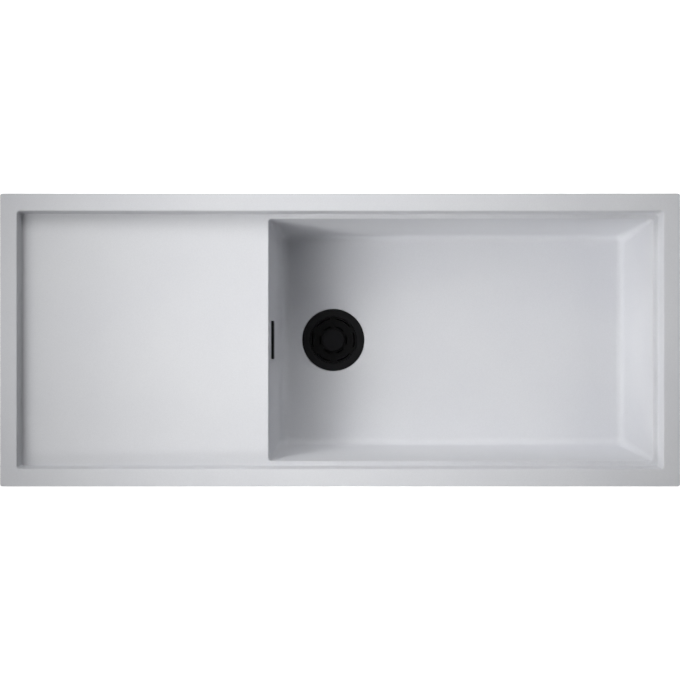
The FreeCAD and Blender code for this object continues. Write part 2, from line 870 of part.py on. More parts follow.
def make_waste_body():
    """The moulded cup under the floor, its side inlet, its outlet and the bolt's boss."""
    body = drain_body("waste_body")
    flange_foot = waste_top - s.waste_flange_thickness
    outlet_end = outlet_top - s.outlet_length
    shoulder_radius = s.outlet_thread_radius + s.waste_funnel_root
    revolve(body, [
        (s.waste_cup_radius, waste_top),
        (s.waste_flange_radius, waste_top),
        (s.waste_flange_radius, flange_foot),
        (cup_outer_radius, flange_foot),
        (cup_outer_radius, cup_foot - s.waste_wall),
        (shoulder_radius, outlet_top - s.waste_wall),
        (s.outlet_thread_radius, outlet_top - s.waste_wall),
        (s.outlet_thread_radius, outlet_end),
        (s.outlet_bore_radius, outlet_end),
        (s.outlet_bore_radius, outlet_top),
        (s.waste_cup_radius, cup_foot),
    ])
    rib = add_sketch(body, "XY_Plane", cup_foot)
    half_rib = s.boss_rib_width / 2
    rib_end = s.waste_cup_radius + s.waste_wall / 2
    draw_rectangle(rib, s.boss_radius - half_rib, rib_end, -half_rib, half_rib)
    repeat_round(body, pad(body, rib, s.boss_rib_height), s.boss_rib_count)
    boss = add_sketch(body, "XY_Plane", well_underside - s.boss_height)
    draw_circle(boss, 0, 0, s.boss_radius)
    pad(body, boss, s.boss_height)
    inlet = add_sketch(body, "YZ_Plane", -inlet_end)
    draw_circle(inlet, 0, inlet_level, s.spigot_radius)
    pad(body, inlet, s.spigot_length + s.waste_wall / 2)
    seat = add_sketch(body, "YZ_Plane", s.spigot_seat_depth - inlet_end)
    draw_circle(seat, 0, inlet_level, s.hose_cuff_radius + s.loose_clearance)
    pocket(body, seat, s.spigot_seat_depth + s.cut_margin)
    bore = add_sketch(body, "YZ_Plane", -(s.waste_cup_radius - s.waste_wall))
    draw_circle(bore, 0, inlet_level, s.hose_bore_radius)
    pocket(body, bore, s.spigot_length)
    insert_seat = add_sketch(body, "XY_Plane", well_underside)
    draw_circle(insert_seat, 0, 0, s.bolt_insert_radius + s.press_clearance)
    pocket(body, insert_seat, s.bolt_insert_length)
    bolt_bore = add_sketch(body, "XY_Plane", well_underside)
    draw_circle(bolt_bore, 0, 0, s.bolt_radius + s.loose_clearance)
    pocket(body, bolt_bore, s.bolt_length)


def make_waste_bolt():
    """The bolt through the well's floor, with a hexagon socket in its low head."""
    body = drain_body("waste_bolt")
    head = add_sketch(body, "XY_Plane", well_floor)
    draw_circle(head, 0, 0, s.bolt_head_radius)
    pad(body, head, s.bolt_head_height)
    shank = add_sketch(body, "XY_Plane", well_floor - s.bolt_length)
    draw_circle(shank, 0, 0, s.bolt_radius)
    pad(body, shank, s.bolt_length)
    socket = add_sketch(body, "XY_Plane", well_floor + s.bolt_head_height)
    draw_hexagon(socket, s.bolt_socket_flats)
    pocket(body, socket, s.bolt_socket_depth)


def make_bolt_insert():
    """The brass thread in the waste body's boss."""
    make_ring(
        "bolt_insert",
        s.bolt_radius + s.press_clearance,
        s.bolt_insert_radius,
        well_underside - s.bolt_insert_length,
        well_underside,
    )


# The basket, its knob and its plug


def make_strainer_basket():
    """The slotted plate with its skirt and the hub that guides the stem."""
    body = drain_body("strainer_basket")
    bore = s.stem_radius + s.running_clearance
    skirt_foot = seat_level - s.skirt_depth
    skirt_inner = s.skirt_radius - s.skirt_wall
    revolve(body, [
        (bore, plate_top),
        (s.seat_radius - s.loose_clearance, plate_top),
        (s.seat_radius - s.loose_clearance, seat_level),
        (s.skirt_radius, seat_level),
        (s.skirt_radius, skirt_foot),
        (skirt_inner, skirt_foot),
        (skirt_inner, seat_level),
        (s.hub_radius, seat_level),
        (s.hub_radius, hub_foot),
        (bore, hub_foot),
    ])
    ring_top = hub_foot + s.hub_depth / 2
    groove = add_sketch(body, "XZ_Plane")
    ring_outer = bore + s.ring_thickness
    draw_rectangle(groove, bore - s.running_clearance, ring_outer, ring_top - s.ring_height, ring_top)
    add_feature(body, "Groove", groove, ReferenceAxis=(groove, ["V_Axis"]), Angle=360)
    low = seat_level - s.plate_thickness / 2
    high = plate_top + s.plate_thickness
    for radius, width, angle in (
        (s.outer_slot_radius, s.outer_slot_width, s.outer_slot_angle),
        (s.inner_slot_radius, s.inner_slot_width, s.inner_slot_angle),
    ):
        slot = cut_arc(body, angle, radius - width / 2, radius + width / 2, low, high)
        repeat_round(body, slot, s.slot_count)
    window = add_sketch(body, "YZ_Plane", s.skirt_radius + s.skirt_wall)
    half_window = s.window_width / 2
    window_low = skirt_foot + (s.skirt_depth - s.window_height) / 2
    window_high = window_low + s.window_height
    corner = s.window_corner_radius
    draw_rectangle(window, -half_window, half_window, window_low, window_high, corner)
    repeat_round(body, pocket(body, window, 3 * s.skirt_wall), s.window_count)


def make_stem_ring():
    """The rubber ring in the hub's groove that holds the stem up or down."""
    ring_top = hub_foot + s.hub_depth / 2
    inner = s.stem_radius + s.running_clearance
    outer = inner + s.ring_thickness - s.press_clearance
    low = ring_top - s.ring_height + s.press_clearance
    make_ring("stem_ring", inner, outer, low, ring_top - s.press_clearance)


def make_basket_knob():
    """The low round cap, undercut for the fingers, on its foot."""
    body = drain_body("basket_knob")
    socket = s.stem_radius + s.press_clearance
    socket_top = knob_foot + s.stem_grip
    revolve(body, [
        (socket, knob_foot),
        (s.knob_foot_radius, knob_foot),
        (s.knob_foot_radius, knob_under),
        (s.knob_radius, knob_under),
        (s.knob_radius, knob_top, s.knob_edge_radius),
        (0, knob_top),
        (0, socket_top),
        (socket, socket_top),
    ])


def make_plug_stem():
    """The rod from the knob to the plug, with the collar that the plug sits under."""
    body = drain_body("plug_stem")
    collar_top = plug_top + s.stem_collar_height
    stem_foot = plug_top - (s.plug_height - s.plug_hollow_depth) - s.plug_nut_thickness
    revolve(body, [
        (0, knob_foot + s.stem_grip),
        (0, stem_foot),
        (s.stem_radius, stem_foot),
        (s.stem_radius, plug_top),
        (s.stem_collar_radius, plug_top),
        (s.stem_collar_radius, collar_top),
        (s.stem_radius, collar_top),
        (s.stem_radius, knob_foot + s.stem_grip),
    ])


def make_plug_seal():
    """The rubber plug, hollow underneath to clear the bolt's head."""
    body = drain_body("plug_seal")
    bore = s.stem_radius + s.press_clearance
    revolve(body, [
        (s.plug_radius, plug_foot),
        (s.plug_radius, plug_top, s.plug_edge_radius),
        (bore, plug_top),
        (bore, plug_foot + s.plug_hollow_depth),
        (s.plug_hollow_radius, plug_foot + s.plug_hollow_depth),
        (s.plug_hollow_radius, plug_foot),
    ])


def make_plug_nut():
    """The flat nut that holds the plug on its stem."""
    top = plug_foot + s.plug_hollow_depth
    inner = s.stem_radius + s.press_clearance
    make_ring("plug_nut", inner, s.plug_nut_radius, top - s.plug_nut_thickness, top)


# The overflow


def overflow_body(label):
    """A sub-part in the overflow's frame: X out of the bowl's left wall, Z up along it."""
    return add_body(label, at=(overflow_x, 0, overflow_level), lean=-lean_angle(bowl_slope))


def at_both_screws(sketch, radius):
    """Two circles, one for each screw of the overflow."""
    for sign in (1, -1):
        draw_circle(sketch, sign * s.screw_spacing / 2, 0, radius)


def make_overflow_cover():
    """The black bar, open along its lower edge, with two pillars through the slot."""
    body = overflow_body("overflow_cover")
    half_bar = s.cover_length / 2
    half_high = s.cover_height / 2
    bar = add_sketch(body, "YZ_Plane")
    draw_rectangle(bar, -half_bar, half_bar, -half_high, half_high, s.cover_corner_radius)
    pad(body, bar, s.cover_rise)
    inside = s.cover_rise - s.cover_wall
    hollow = add_sketch(body, "YZ_Plane", inside)
    half_hollow = half_bar - s.cover_wall
    draw_rectangle(
        hollow, -half_hollow, half_hollow, -(half_high + s.cut_margin), half_high - s.cover_wall
    )
    pocket(body, hollow, inside + s.cut_margin)
    fillet(body, s.cover_edge_radius, lambda point: near(point.x, s.cover_rise))
    pillar_end = gasket_back + s.loose_clearance
    pillars = add_sketch(body, "YZ_Plane", pillar_end)
    at_both_screws(pillars, s.screw_pillar_radius)
    pad(body, pillars, inside - pillar_end + s.cover_wall / 2)
    pilots = add_sketch(body, "YZ_Plane", box_flange_back + s.screw_length)
    at_both_screws(pilots, s.screw_radius + s.press_clearance)
    pocket(body, pilots, s.screw_length + s.cut_margin)


def make_overflow_gasket():
    """The foam gasket between the housing and the outside of the bowl wall."""
    body = overflow_body("overflow_gasket")
    outline = add_sketch(body, "YZ_Plane", gasket_back)
    half_long = s.box_flange_length / 2
    half_high = s.box_flange_height / 2
    draw_rectangle(outline, -half_long, half_long, -half_high, half_high, s.box_corner_radius)
    half_slot = s.overflow_slot_length / 2
    slot_high = s.overflow_slot_height / 2
    draw_rectangle(outline, -half_slot, half_slot, -slot_high, slot_high, s.overflow_slot_corner)
    pad(body, outline, s.overflow_gasket_thickness)


def make_overflow_box():
    """The housing behind the wall: flange with two ears, chamber and spigot."""
    body = overflow_body("overflow_box")
    half_long = s.box_flange_length / 2
    half_high = s.box_flange_height / 2
    flange = add_sketch(body, "YZ_Plane", box_flange_back)
    draw_rectangle(flange, -half_long, half_long, -half_high, half_high, s.box_corner_radius)
    pad(body, flange, s.box_flange_thickness)
    chamber = add_sketch(body, "YZ_Plane", box_back)
    half_box = s.box_length / 2
    draw_rectangle(chamber, -half_box, half_box, box_foot, s.box_top, s.box_corner_radius)
    pad(body, chamber, s.box_depth + s.box_flange_thickness / 2)
    fillet(body, s.box_corner_radius, lambda point: near(point.x, box_back))
    spigot = add_sketch(body, "XY_Plane", spigot_end)
    draw_circle(spigot, spigot_axis, 0, s.spigot_radius)
    pad(body, spigot, s.spigot_length + s.box_wall / 2)
    inside = add_sketch(body, "YZ_Plane", gasket_back)
    half_inside = half_box - s.box_wall
    draw_rectangle(inside, -half_inside, half_inside, box_foot + s.box_wall, s.box_top - s.box_wall)
    pocket(body, inside, gasket_back - box_back - s.box_wall)
    seat = add_sketch(body, "XY_Plane", spigot_end + s.spigot_seat_depth)
    draw_circle(seat, spigot_axis, 0, s.hose_cuff_radius + s.loose_clearance)
    pocket(body, seat, s.spigot_seat_depth + s.cut_margin)
    bore = add_sketch(body, "XY_Plane", box_foot + 2 * s.box_wall)
    draw_circle(bore, spigot_axis, 0, s.hose_bore_radius)
    pocket(body, bore, s.spigot_length)
    screw_holes = add_sketch(body, "YZ_Plane", gasket_back)
    at_both_screws(screw_holes, s.screw_radius + s.loose_clearance)
    pocket(body, screw_holes, s.box_flange_thickness + s.cut_margin)


def make_overflow_screws():
    """Two pan-head screws from the housing's ears into the cover's pillars."""
    body = overflow_body("overflow_screws")
    shanks = add_sketch(body, "YZ_Plane", box_flange_back)
    at_both_screws(shanks, s.screw_radius)
    pad(body, shanks, s.screw_length - s.loose_clearance)
    heads = add_sketch(body, "YZ_Plane", box_flange_back - s.screw_head_height)
    at_both_screws(heads, s.screw_head_radius)
    pad(body, heads, s.screw_head_height)


# The overflow hose. Its route lies in the plane Y = 0: down beside the bowl wall, then one bend
# to the waste body's side inlet.

upper_face = overflow_point(spigot_axis, spigot_end)
lower_face = (drain_x - inlet_end, floor_level + inlet_level)


def make_hose_nut(label, face, **turn):
    """A hexagon nut over a spigot's thread, its lip round the hose's cuff."""
    body = add_body(label, at=(face[0], 0, face[1]), **turn)
    foot = s.nut_grip - s.nut_length
    outside = add_sketch(body, "XY_Plane", foot)
    draw_hexagon(outside, s.nut_flats)
    pad(body, outside, s.nut_length)
    thread = add_sketch(body, "XY_Plane", s.nut_grip)
    draw_circle(thread, 0, 0, s.spigot_radius + s.press_clearance)
    pocket(body, thread, s.nut_grip + s.washer_thickness)
    mouth = add_sketch(body, "XY_Plane", s.nut_grip)
    draw_circle(mouth, 0, 0, s.hose_cuff_radius + s.loose_clearance)
    pocket(body, mouth, s.nut_length + s.cut_margin)


def make_hose_washer(label, face, **turn):
    """The rubber washer between the spigot's end and the nut's lip."""
    body = add_body(label, at=(face[0], 0, face[1]), **turn)
    inner = s.hose_cuff_radius + s.press_clearance
    outer = s.spigot_radius - s.press_clearance
    low = -s.washer_thickness
    revolve(body, [(inner, low), (outer, low), (outer, 0), (inner, 0)])


def make_overflow_hose():
    """The ribbed hose: plain cuffs, ribs between them and a bore all through."""
    down = Vector(wall_sine.value, 0, -wall_cosine.value)
    along = Vector(1, 0, 0)
    first_face = Vector(upper_face[0].value, 0, upper_face[1].value)
    last_face = Vector(lower_face[0].value, 0, lower_face[1].value)
    start = first_face - down * s.spigot_seat_depth.value
    end = last_face + along * s.spigot_seat_depth.value
    corner = start + down * ((end.z - start.z) / down.z)
    turn = down.getAngle(along)
    radius = s.hose_bend_radius.value
    cut_back = radius * math.tan(turn / 2)
    bend_start = corner - down * cut_back
    bend_end = corner + along * cut_back
    centre = bend_start + down.cross(Vector(0, 1, 0)) * radius
    middle = centre + ((bend_start + bend_end) / 2 - centre).normalize() * radius
    first_run = (bend_start - start).Length
    bend_run = radius * turn
    length = first_run + bend_run + (end - bend_end).Length
    route = Part.Wire([
        Part.LineSegment(start, bend_start).toShape(),
        Part.Arc(bend_start, middle, bend_end).toShape(),
        Part.LineSegment(bend_end, end).toShape(),
    ])

    def station(distance):
        """The route's point and direction at a distance from its start."""
        if distance <= first_run:
            return start + down * distance, down
        if distance >= first_run + bend_run:
            return bend_end + along * (distance - first_run - bend_run), along
        turned = (distance - first_run) / radius
        spoke = Rotation(down.cross(along), math.degrees(turned)).multVec(bend_start - centre)
        heading = Rotation(down.cross(along), math.degrees(turned)).multVec(down)
        return centre + spoke, heading

    def ring(distance, ring_radius):
        """A circle square to the route; its own X axis stays along Y all the way."""
        point, heading = station(distance)
        frame = Rotation(Vector(0, 1, 0), Vector(), heading, "ZXY")
        circle = Part.Circle(Vector(), Vector(0, 0, 1), ring_radius).toShape()
        circle.Placement = Placement(point, frame)
        return Part.Wire([circle])

    cuff = s.hose_cuff_length.value
    count = int((length - 2 * cuff) / s.hose_rib_pitch.value)
    pitch = (length - 2 * cuff) / count
    valley, crest = s.hose_valley_radius, s.hose_crest_radius
    rib_profile = [(0.15, valley), (0.35, crest), (0.65, crest), (0.85, valley)]
    stations = [(0, s.hose_cuff_radius), (cuff, s.hose_cuff_radius)]
    for number in range(count):
        for share, rib_radius in rib_profile:
            stations.append((cuff + (number + share) * pitch, rib_radius))
    stations += [(length - cuff, s.hose_cuff_radius), (length, s.hose_cuff_radius)]
    outside = Part.makeLoft([ring(place, size.value) for place, size in stations], True, True)
    bore = route.makePipeShell([ring(0, s.hose_bore_radius.value)], True, False)
    expected = math.pi * s.hose_bore_radius.value ** 2 * length
    print(f"overflow hose: route {length:.1f} mm, {count} ribs, bend radius {radius:.1f} mm")
    print(f"overflow hose: bore {bore.Volume:.1f} mm3, section by length {expected:.1f} mm3")
    hose = doc.addObject("Part::Feature", "overflow_hose")
    hose.Label = "overflow_hose"
    hose.Shape = outside.cut(bore)
    hose.Placement = Placement()
    pieces.append(hose)


# The clamps


def make_clamp_inserts():
    """Brass threads pressed into the bosses, all alike, each a solid of its own."""
    body = add_body("clamp_inserts")
    rings = add_sketch(body, "XY_Plane", -s.clamp_boss_drop)
    for x, y, _ in CLAMP_PLACES:
        draw_circle(rings, x, y, s.clamp_insert_radius)
        draw_circle(rings, x, y, s.clamp_screw_radius + s.running_clearance)
    pad(body, rings, s.clamp_insert_length)


def make_clamp_screw(number, x, y):
    """A clamp's screw; its frame lies where the claw bears on the head."""
    body = add_body(f"clamp_screw_{number}", at=(x, y, clamp_bearing))
    head = add_sketch(body, "XY_Plane", -s.clamp_head_height)
    draw_circle(head, 0, 0, s.clamp_head_radius)
    pad(body, head, s.clamp_head_height)
    shank = add_sketch(body, "XY_Plane")
    draw_circle(shank, 0, 0, s.clamp_screw_radius)
    pad(body, shank, s.clamp_screw_length)
    socket = add_sketch(body, "XY_Plane", s.clamp_socket_depth - s.clamp_head_height)
    draw_hexagon(socket, s.clamp_socket_flats)
    pocket(body, socket, s.clamp_socket_depth + s.cut_margin)


def make_clamp_claw(number, x, y, outwards):
    """A bent claw, parked along the rim; its own X axis runs from heel to toe."""
    body = add_body(f"clamp_claw_{number}", at=(x, y, clamp_bearing), turn=outwards + PARKED_TURN)
    side = add_sketch(body, "XZ_Plane")
    inner_toe = s.claw_reach - s.claw_thickness
    draw_outline(side, [
        (-s.claw_heel, 0),
        (s.claw_reach, 0, s.claw_bend_radius + s.claw_thickness),
        (s.claw_reach, s.claw_toe_height),
        (inner_toe, s.claw_toe_height),
        (inner_toe, s.claw_thickness, s.claw_bend_radius),
        (-s.claw_heel, s.claw_thickness),
    ])
    pad(body, side, s.claw_width, Midplane=True)
    heel_radius = s.claw_width / 2 - s.loose_clearance

    def at_heel_corner(point):
        return near(point.x, -s.claw_heel) and near(abs(point.y), s.claw_width / 2)

    fillet(body, heel_radius, at_heel_corner)
    hole = add_sketch(body, "XY_Plane", s.claw_thickness)
    draw_circle(hole, 0, 0, s.clamp_screw_radius + s.running_clearance)
    pocket(body, hole, s.claw_thickness + s.cut_margin)
    notch = add_sketch(body, "YZ_Plane", s.claw_reach + s.cut_margin)
    half_notch = s.claw_width / 4
    draw_outline(notch, [
        (-half_notch, s.claw_toe_height + s.claw_tooth_depth / 2),
        (0, s.claw_toe_height - s.claw_tooth_depth),
        (half_notch, s.claw_toe_height + s.claw_tooth_depth / 2),
    ])
    pocket(body, notch, s.claw_thickness + 2 * s.cut_margin)


def make_all():
    """Every sub-part, from the sink down to its fasteners."""
    make_sink_body()
    make_strainer_flange()
    seal_outer = s.drain_hole_radius + s.loose_clearance + s.flange_seal_width
    make_ring(
        "flange_seal",
        s.drain_hole_radius + s.loose_clearance,
        seal_outer,
        -s.drain_seat_depth,
        flange_under,
    )
    make_ring(
        "waste_seal",
        s.waste_cup_radius,
        s.waste_cup_radius + s.waste_seal_width,
        waste_top,
        pad_underside,
    )
    make_waste_body()
    make_waste_bolt()
    make_bolt_insert()
    make_strainer_basket()
    make_stem_ring()
    make_basket_knob()
    make_plug_stem()
    make_plug_seal()
    make_plug_nut()
    make_overflow_cover()
    make_overflow_gasket()
    make_overflow_box()
    make_overflow_screws()
    upper_turn = {"lean": -lean_angle(bowl_slope)}
    lower_turn = {"lean": as_size(90)}
    for place, face, turn in (("upper", upper_face, upper_turn), ("lower", lower_face, lower_turn)):
        make_hose_nut(f"hose_nut_{place}", face, **turn)
        make_hose_washer(f"hose_washer_{place}", face, **turn)
    make_overflow_hose()
    make_clamp_inserts()
    for number, (x, y, outwards) in enumerate(CLAMP_PLACES, 1):
        make_clamp_screw(number, x, y)
        make_clamp_claw(number, x, y, outwards)
    doc.recompute()


def check_all():
    """Stop if any object of the document failed or any sub-part is empty or invalid."""
    for item in doc.Objects:
        if "Invalid" in item.State or "Error" in item.State:
            raise ValueError(f"{item.Name} is {item.State}")
    for piece in pieces:
        if piece.Shape.isNull() or not piece.Shape.isValid() or piece.Shape.Volume <= 0:
            raise ValueError(f"{piece.Label} has no valid shape")


def write_all():
    """One STEP file for each sub-part, named after it."""
    os.makedirs("parts", exist_ok=True)
    for piece in pieces:
        piece.Shape.exportStep(f"parts/{piece.Label}.step")


make_all()
check_all()
write_all()
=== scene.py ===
"""Kitchen sink with drainboard in light grey quartz composite.

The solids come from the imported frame. This file gives every one of them its finish, and
models the pieces that show more than plain solids can: the ribbed overflow hose, the
threads of the waste outlet and of the clamp screws, and the chamfered hose nuts.
"""

import json
import logging
import math
from dataclasses import dataclass, field
from enum import Enum

import bmesh
import bpy
from mathutils import Matrix, Vector

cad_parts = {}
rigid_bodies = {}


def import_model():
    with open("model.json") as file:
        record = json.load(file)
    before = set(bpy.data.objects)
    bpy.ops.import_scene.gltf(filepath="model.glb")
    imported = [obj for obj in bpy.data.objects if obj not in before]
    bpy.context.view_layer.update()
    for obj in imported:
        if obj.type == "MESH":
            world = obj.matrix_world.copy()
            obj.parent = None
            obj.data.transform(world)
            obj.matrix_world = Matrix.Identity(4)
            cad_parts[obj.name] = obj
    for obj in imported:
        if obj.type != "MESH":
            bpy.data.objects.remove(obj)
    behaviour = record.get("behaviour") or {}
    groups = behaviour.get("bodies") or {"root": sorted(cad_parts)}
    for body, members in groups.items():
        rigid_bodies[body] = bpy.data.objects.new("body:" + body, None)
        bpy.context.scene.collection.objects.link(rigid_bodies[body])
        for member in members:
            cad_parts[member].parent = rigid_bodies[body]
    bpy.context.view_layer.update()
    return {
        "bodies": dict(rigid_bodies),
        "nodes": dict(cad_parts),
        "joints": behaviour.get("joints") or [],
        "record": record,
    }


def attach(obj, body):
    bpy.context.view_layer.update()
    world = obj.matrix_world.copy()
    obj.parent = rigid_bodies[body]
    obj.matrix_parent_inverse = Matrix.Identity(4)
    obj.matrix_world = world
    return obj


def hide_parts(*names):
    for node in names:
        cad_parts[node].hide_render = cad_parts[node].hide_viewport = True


log = logging.getLogger("sink")

MM = 0.001

# Noise hardly leaves this band, so the patterns spread from here over their full range.
NOISE_LOW, NOISE_HIGH = 0.3, 0.7

# Brush marks are drawn about twelve times as long as they are wide.
BRUSH_SHARE = 0.08

# Edges sharper than this stay crisp in the shading.
CREASE = math.radians(38)

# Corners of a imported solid's triangles closer together than this are one corner, in mm.
WELD_DISTANCE = 0.002


# Materials


class Grain(Enum):
    """How a surface was made, which decides the pattern it carries."""

    CAST = "cast"
    MOULDED = "moulded"
    COATED = "coated"
    BRUSHED = "brushed"


def linear(hex_colour: str) -> tuple[float, float, float, float]:
    """Turn an sRGB hex colour into linear light.

    Args:
        hex_colour: six hex digits after a hash.

    Returns:
        Red, green, blue and an alpha of one.
    """
    channels = [int(hex_colour[i : i + 2], 16) / 255 for i in (1, 3, 5)]
    red, green, blue = [
        c / 12.92 if c <= 0.04045 else ((c + 0.055) / 1.055) ** 2.4 for c in channels
    ]
    return red, green, blue, 1.0


def add_node(
    tree: bpy.types.NodeTree,
    kind: str,
    values: dict | None = None,
    links: dict | None = None,
    **settings: object,
) -> bpy.types.Node:
    """Add a node with its settings, input values and links.

    Args:
        tree: the material's node tree.
        kind: the node's type.
        values: input name or number to the value set on it.
        links: input name or number to the output that feeds it.
        settings: the node's own attributes.

    Returns:
        The new node.
    """
    node = tree.nodes.new(kind)
    for name, value in settings.items():
        setattr(node, name, value)
    for name, value in (values or {}).items():
        node.inputs[name].default_value = value
    for name, output in (links or {}).items():
        tree.links.new(output, node.inputs[name])
    return node


def bare_material(name: str) -> bpy.types.Material:
    """Add a material whose node tree is still empty.

    Args:
        name: the material's name.

    Returns:
        The new material.
    """
    material = bpy.data.materials.new(name)
    material.use_nodes = True
    material.node_tree.nodes.clear()
    return material


@dataclass(frozen=True)
class Finish:
    """A material as it was made, with real sizes for its patterns.

    The colour drifts towards the shade in soft patches; the grain is a finer pattern that
    moves roughness and relief. A cast surface also carries speckles, and a brushed one has
    its grain drawn out along Z.
    """

    name: str
    grain: Grain
    colour: str
    shade: str
    roughness: float
    metallic: float = 0.0
    specular: float = 0.5
    patch_mm: float = 60.0
    grain_mm: float = 1.0
    relief_mm: float = 0.02
    roughness_spread: float = 0.08
    speckle: float = 0.0

    def material(self) -> bpy.types.Material:
        """Build the node material.

        Returns:
            The material, built once and then reused.
        """
        found = bpy.data.materials.get(self.name)
        if found is not None:
            return found
        material = bare_material(self.name)
        tree = material.node_tree
        place = add_node(tree, "ShaderNodeTexCoord").outputs["Object"]
        grain_place = place
        if self.grain is Grain.BRUSHED:
            stretch = add_node(
                tree,
                "ShaderNodeMapping",
                links={"Vector": place},
                values={"Scale": (1.0, 1.0, BRUSH_SHARE)},
            )
            grain_place = stretch.outputs["Vector"]
        patches = add_node(
            tree,
            "ShaderNodeTexNoise",
            values={"Scale": 1 / (self.patch_mm * MM), "Detail": 3.0, "Roughness": 0.5},
            links={"Vector": place},
        )
        grains = add_node(
            tree,
            "ShaderNodeTexNoise",
            values={"Scale": 1 / (self.grain_mm * MM), "Detail": 4.0, "Roughness": 0.6},
            links={"Vector": grain_place},
        )
        drift = add_node(
            tree,
            "ShaderNodeMapRange",
            values={"From Min": NOISE_LOW, "From Max": NOISE_HIGH},
            links={"Value": patches.outputs["Fac"]},
        )
        tint = add_node(
            tree,
            "ShaderNodeMix",
            data_type="RGBA",
            values={6: linear(self.colour), 7: linear(self.shade)},
            links={0: drift.outputs["Result"]},
        )
        colour = tint.outputs[2]
        if self.grain is Grain.CAST:
            colour = self.speckled(tree, place, colour)
        rough = add_node(
            tree,
            "ShaderNodeMapRange",
            values={
                "From Min": NOISE_LOW,
                "From Max": NOISE_HIGH,
                "To Min": self.roughness - self.roughness_spread,
                "To Max": self.roughness + self.roughness_spread,
            },
            links={"Value": grains.outputs["Fac"]},
        )
        relief = add_node(
            tree,
            "ShaderNodeBump",
            values={"Distance": self.relief_mm * MM},
            links={"Height": grains.outputs["Fac"]},
        )
        shader = add_node(
            tree,
            "ShaderNodeBsdfPrincipled",
            values={"Metallic": self.metallic, "Specular IOR Level": self.specular},
            links={
                "Base Color": colour,
                "Roughness": rough.outputs["Result"],
                "Normal": relief.outputs["Normal"],
            },
        )
        add_node(
            tree, "ShaderNodeOutputMaterial", links={"Surface": shader.outputs["BSDF"]}
        )
        return material

    def speckled(
        self,
        tree: bpy.types.NodeTree,
        place: bpy.types.NodeSocket,
        colour: bpy.types.NodeSocket,
    ) -> bpy.types.NodeSocket:
        """Lay quartz grains, some lighter and some darker, over a colour.

        Args:
            tree: the material's node tree.
            place: the object coordinates.
            colour: the colour below the grains.

        Returns:
            The colour with its grains.
        """
        cells = add_node(
            tree,
            "ShaderNodeTexVoronoi",
            values={"Scale": 1 / (self.grain_mm * MM)},
            links={"Vector": place},
        )
        level = add_node(
            tree,
            "ShaderNodeMapRange",
            values={"To Min": 1 - self.speckle, "To Max": 1 + self.speckle},
            links={"Value": cells.outputs["Color"]},
        )
        shaded = add_node(
            tree,
            "ShaderNodeMix",
            data_type="RGBA",
            blend_type="MULTIPLY",
            values={0: 1.0},
            links={6: colour, 7: level.outputs["Result"]},
        )
        return shaded.outputs[2]


# Quartz sand in acrylic resin, cast in a mould: matt, light grey, with grains that show only
# close up. The real grain of 0.3 mm is drawn at 1.2 mm so that it shows at all.
QUARTZ_COMPOSITE = Finish(
    name="quartz_composite",
    grain=Grain.CAST,
    colour="#DEDFE2",
    shade="#DADBDF",
    roughness=0.6,
    specular=0.3,
    patch_mm=180.0,
    grain_mm=1.2,
    relief_mm=0.012,
    roughness_spread=0.06,
    speckle=0.024,
)

# Stainless steel with a baked black coating: even satin black, the pressed edges catch light.
# The grain is the coating's orange peel, about 0.5 mm wide.
BLACK_COATED_STEEL = Finish(
    name="black_coated_steel",
    grain=Grain.COATED,
    colour="#0D0D10",
    shade="#0A0A0D",
    roughness=0.42,
    specular=0.27,
    patch_mm=30.0,
    grain_mm=0.5,
    relief_mm=0.004,
)

# The same coating on the punched sheet of the basket, duller from its handling. Its colour is
# kept darker than the flange's as painted shade for the basket's place down in the well. The
# orange peel is as wide as on the pressed steel.
BLACK_COATING_PAINTED_SHADE = Finish(
    name="black_coating_painted_shade",
    grain=Grain.COATED,
    colour="#080809",
    shade="#060607",
    roughness=0.5,
    specular=0.14,
    patch_mm=24.0,
    grain_mm=0.5,
    relief_mm=0.005,
)

# Black ABS from a lightly eroded mould: satin, a shade lighter than the coated steel. The
# mould's texture of 0.1 mm is drawn at 0.4 mm so that it shows.
BLACK_ABS = Finish(
    name="black_abs",
    grain=Grain.MOULDED,
    colour="#0F0F13",
    shade="#0C0C0F",
    roughness=0.5,
    specular=0.18,
    patch_mm=25.0,
    grain_mm=0.4,
    relief_mm=0.006,
)

# Injection moulded black polypropylene of waste body, overflow housing and hose nuts: waxy
# and lighter than the ABS, with soft flow marks about 18 mm across. The mould's texture of
# 0.15 mm is drawn at 0.6 mm.
BLACK_POLYPROPYLENE = Finish(
    name="black_polypropylene",
    grain=Grain.MOULDED,
    colour="#222225",
    shade="#1C1C1F",
    roughness=0.45,
    patch_mm=18.0,
    grain_mm=0.6,
    relief_mm=0.01,
)

# Grey flexible polypropylene of the hose: satin, a little uneven from blow moulding over the
# width of three ribs. Its pits of 0.2 mm are drawn at 0.8 mm.
GREY_POLYPROPYLENE = Finish(
    name="grey_polypropylene",
    grain=Grain.MOULDED,
    colour="#9B9CA0",
    shade="#8D8E93",
    roughness=0.42,
    patch_mm=14.0,
    grain_mm=0.8,
    relief_mm=0.01,
)

# Moulded nitrile rubber: dull black with a dusty bloom, whose specks of 0.1 mm are drawn at
# 0.5 mm.
NITRILE_RUBBER = Finish(
    name="nitrile_rubber",
    grain=Grain.MOULDED,
    colour="#1B1B1C",
    shade="#262627",
    roughness=0.78,
    specular=0.3,
    patch_mm=8.0,
    grain_mm=0.5,
    relief_mm=0.015,
)

# Turned brass of the threaded inserts: warm, with fine tool marks. The feed of 0.15 mm is
# drawn at 0.6 mm.
TURNED_BRASS = Finish(
    name="turned_brass",
    grain=Grain.BRUSHED,
    colour="#C9A45C",
    shade="#B8924C",
    roughness=0.3,
    metallic=1.0,
    patch_mm=6.0,
    grain_mm=0.6,
    relief_mm=0.004,
)

